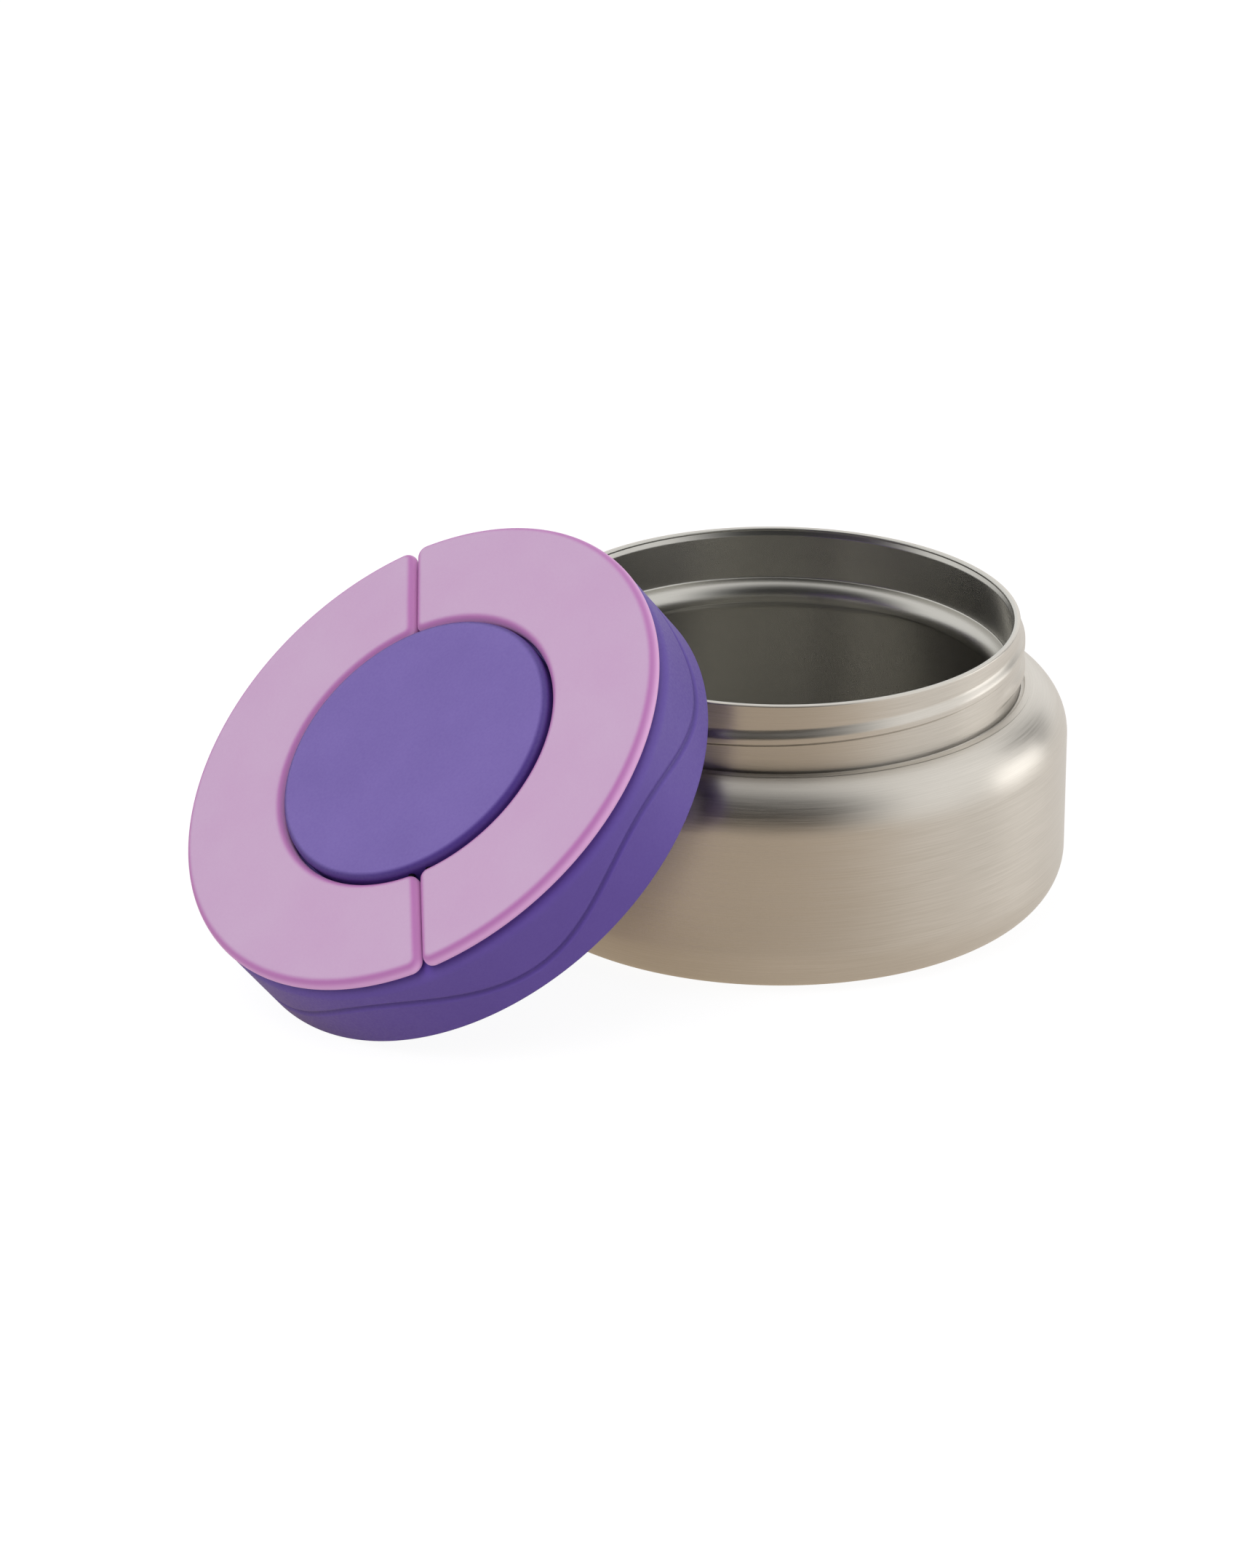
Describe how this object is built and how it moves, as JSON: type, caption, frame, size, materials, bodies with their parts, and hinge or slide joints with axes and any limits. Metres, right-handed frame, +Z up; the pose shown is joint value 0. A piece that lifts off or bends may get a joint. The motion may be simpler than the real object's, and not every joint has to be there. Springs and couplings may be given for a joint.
{
  "type": "insulated food jar",
  "caption": "Squat round steel vacuum food jar with a threaded neck; its purple screw lid, with flip-up half-ring handles around a centre disc, leans against its side.",
  "frame": {"origin": "centre of the jar's base disc, on the table", "axes": "+Z up along the jar's axis; the lid that was taken off leans on the jar's -X side"},
  "size_m": [0.175, 0.11, 0.0791],
  "materials": {
    "steel_outer": "brushed",
    "steel_inner": "satin",
    "steel_hardware": "plain",
    "foil": "bright foil",
    "getter_metal": "sintered",
    "seal_glass": "dull",
    "purple_plastic": "satin",
    "violet_plastic": "fine matt",
    "lilac_plastic": "fine matt",
    "silicone": "soft matt",
    "foam": "open cells"
  },
  "bodies": {
    "jar": {"jar_outer_shell": "steel_outer", "jar_base_cup": "steel_outer", "vacuum_seal_plug": "seal_glass", "base_disc": "steel_outer", "jar_inner_liner": "steel_inner", "heat_shield_foil": "foil", "getter_cup": "steel_hardware", "getter_pellet": "getter_metal"},
    "lid": {"lid_shell": "purple_plastic", "lid_inner_cap": "purple_plastic", "lid_gasket": "silicone", "insulation_pad": "foam", "plug_cover_plate": "purple_plastic", "hub_disc": "violet_plastic", "hub_screws": "steel_hardware", "hinge_rod_left": "steel_hardware", "hinge_rod_right": "steel_hardware"},
    "left_handle": {"handle_left": "lilac_plastic"},
    "right_handle": {"handle_right": "lilac_plastic"}
  },
  "joints": [
    {"name": "lid_lift", "type": "slide", "parent": "jar", "child": "lid", "axis": [-0.6448, 0, 0.7644], "range_m": [0, 0.08]},
    {"name": "left_handle_flip", "type": "hinge", "parent": "lid", "child": "left_handle", "pos_m": [-0.0825, 0.00323, 0.04561], "axis": [0.5213, 0.7314, 0.4397], "range_deg": [0, 90]},
    {"name": "right_handle_flip", "type": "hinge", "parent": "lid", "child": "right_handle", "pos_m": [-0.08049, 0.00077, 0.04731], "axis": [-0.5213, -0.7314, -0.4397], "range_deg": [0, 90]}
  ]
}
